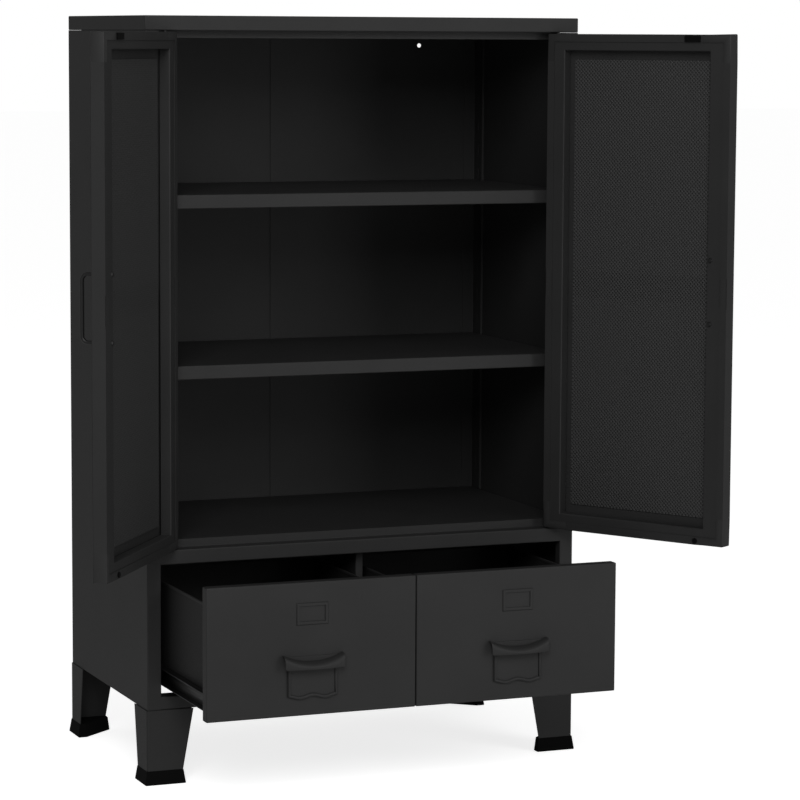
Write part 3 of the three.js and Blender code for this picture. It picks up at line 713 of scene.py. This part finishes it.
# ---------------------------------------------------------------- drawers
DRAWER_X0, DRAWER_X1 = 1.5 - OPENING, -0.75
DRAWER_MIDDLE = (DRAWER_X0 + DRAWER_X1) / 2
FRONT_Z0, FRONT_Z1 = DRAWER_FLOOR + 1.5, DRAWER_TOP - 1.5
FRONT_DEPTH, FRONT_LIP = 18.0, 10.0
PULL_TOP = FRONT_Z1 - 104.5


def build_drawer(side):
    body, place = f"{side}_drawer", on_drawer(side)
    pan = tray(
        lambda a, b, w: (a, w, b), (DRAWER_X0, DRAWER_X1), (FRONT_Z0, FRONT_Z1), FRONT_DEPTH,
        (FRONT_LIP,) * 4,
    )
    front = finish_mesh(pan, f"{side}_drawer_face", place, body, COAT)
    thicken(front)
    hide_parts(f"{side}_drawer_front")
    build_drawer_box(side, place, body)
    build_label_holder(side, place, body)
    build_pull(side, place, body)


def build_drawer_box(side, place, body):
    low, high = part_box("left_drawer_box")
    x0, x1 = low.x / MM - MIDDLE, high.x / MM - MIDDLE
    y0, y1 = (value / MM - FRONT_PLANE + DRAWER_OUT for value in (low.y, high.y))
    z0, z1 = low.z / MM, high.z / MM
    bm = tray(lambda a, b, w: (a, b, z0 + w), (x0, x1), (y0, y1), z1 - z0, (0, 0, 0, 0))
    # The tray wears the darker coat: painted shade inside the drawer.
    box = finish_mesh(bm, f"{side}_drawer_tray", place, body, COAT_SHADED_INSIDE)
    thicken(box)
    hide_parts(f"{side}_drawer_box")
    half, drop, rise = 1.4, 4.0, 0.4
    for name, x in (("outer", x0 + STEEL / 2), ("inner", x1 - STEEL / 2)):
        low, high = z1 - drop, z1 + rise
        outline = [(x - half, low), (x - half, high), (x + half, high), (x + half, low)]
        bm = prism(outline, "y", y0, y1)
        hem = finish_mesh(bm, f"{side}_drawer_{name}_hem", place, body, COAT)
        soften(hem, 1.1, 3)


def build_label_holder(side, place, body):
    """A frame whose section slopes in from its outer edge and drops at its window."""
    wide, tall, border, proud, slope, drop = 50.0, 33.0, 5.0, 2.0, 1.2, 30.0
    z1 = FRONT_Z1 - drop
    z0 = z1 - tall
    bm = bmesh.new()
    steps = ((0.0, -FIT), (slope, -proud), (border, -proud), (border, -FIT))
    rings = []
    for inset, y in steps:
        x0, x1 = DRAWER_MIDDLE - wide / 2 + inset, DRAWER_MIDDLE + wide / 2 - inset
        low, high = z0 + inset, z1 - inset
        rings.append([bm.verts.new((x, y, z)) for x, z in ((x0, low), (x1, low), (x1, high), (x0, high))])
    for a, b in zip(rings, rings[1:] + rings[:1]):
        for i in range(4):
            j = (i + 1) % 4
            bm.faces.new((a[i], a[j], b[j], b[i]))
    holder = finish_mesh(bm, f"{side}_label_frame", place, body, COAT)
    soften(holder, 0.4)
    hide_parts(f"{side}_drawer_label_holder")


def build_pull(side, place, body):
    """A hood open at both ends, its crest sagging in the middle, over a scalloped plate."""
    half, reach, tall, sheet = 47.0, 20.0, 22.0, 2.0
    deepest_sag, fullness, taper, rise = 11.0, 2.2, 5.0, 1.5
    steps = 24
    bm = bmesh.new()
    rows = []
    for i in range(steps + 1):
        t = i / steps * 2 - 1
        out = reach - taper * t * t
        crest = PULL_TOP - rise - deepest_sag * (1 - abs(t) ** fullness)
        low = PULL_TOP - tall
        section = [
            (-FIT, crest + rise), (-out * 0.45, crest + 1.0), (-out * 0.8, crest - 1.0),
            (-out * 0.96, crest - 4.0), (-out, (crest + low) / 2 - 1.0), (-out * 0.97, low),
        ]
        rows.append([bm.verts.new((DRAWER_MIDDLE + t * half, y, z)) for y, z in section])
    for a, b in zip(rows, rows[1:]):
        for j in range(len(a) - 1):
            bm.faces.new((a[j], a[j + 1], b[j + 1], b[j]))
    grip = finish_mesh(bm, f"{side}_pull_grip", place, body, COAT, 60.0)
    solidify = grip.modifiers.new("sheet", "SOLIDIFY")
    solidify.thickness = sheet * MM
    solidify.offset = -1.0
    smooth = grip.modifiers.new("smooth", "SUBSURF")
    smooth.levels = smooth.render_levels = 2
    build_pull_plate(side, place, body)
    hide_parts(f"{side}_drawer_pull")


def build_pull_plate(side, place, body):
    """The plate under the hood, with a raised rolled rim down its sides and along its scallop."""
    half, height, proud, radius, scallop = 39.0, 68.0, 2.0, 2.6, 4.0
    plate_top, rim_top = PULL_TOP - 4.0, PULL_TOP - 20.0
    steps = 24
    across = [i / steps * 2 - 1 for i in range(steps + 1)]
    edge = [(t * half, PULL_TOP - height + scallop * math.cos(t * math.pi) ** 2) for t in across]
    outline = [(DRAWER_MIDDLE + u, z) for u, z in edge + [(half, plate_top), (-half, plate_top)]]
    bm = prism(outline, "y", -proud, -FIT)
    plate = finish_mesh(bm, f"{side}_pull_plate", place, body, COAT)
    soften(plate, 0.5)
    reach = half - radius
    line = [(-reach, rim_top)]
    line += [(min(max(u, -reach), reach), z + radius) for u, z in edge]
    line += [(reach, rim_top)]
    points = [place(DRAWER_MIDDLE + u, -proud, z) for u, z in line]
    tube(points, radius, f"{side}_pull_rim", body, COAT)


# ---------------------------------------------------------------- finishes of the nodes that stay
def finish_nodes():
    finishes = {
        "back_panel": COAT, "shelf_upright": COAT, "pin": ZINC, "rail": ZINC, "screw": SATIN,
        "catch": PLASTIC, "bumper": PLASTIC,
        "left_door_mesh": MESH_COATS["left"], "right_door_mesh": MESH_COATS["right"],
    }
    for name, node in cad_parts.items():
        for word, material in finishes.items():
            if word in name:
                node.data.materials.clear()
                node.data.materials.append(material)
                break


add_camera()
add_studio()
build_cap()
build_top_rail()
build_floor()
build_bottom_rails()
build_divider()
build_shelves()
for side in SIDES:
    build_side_panel(side)
    build_door(side)
    build_drawer(side)
    for end in ("front", "rear"):
        build_leg(side, end)
        build_foot(side, end)
finish_nodes()
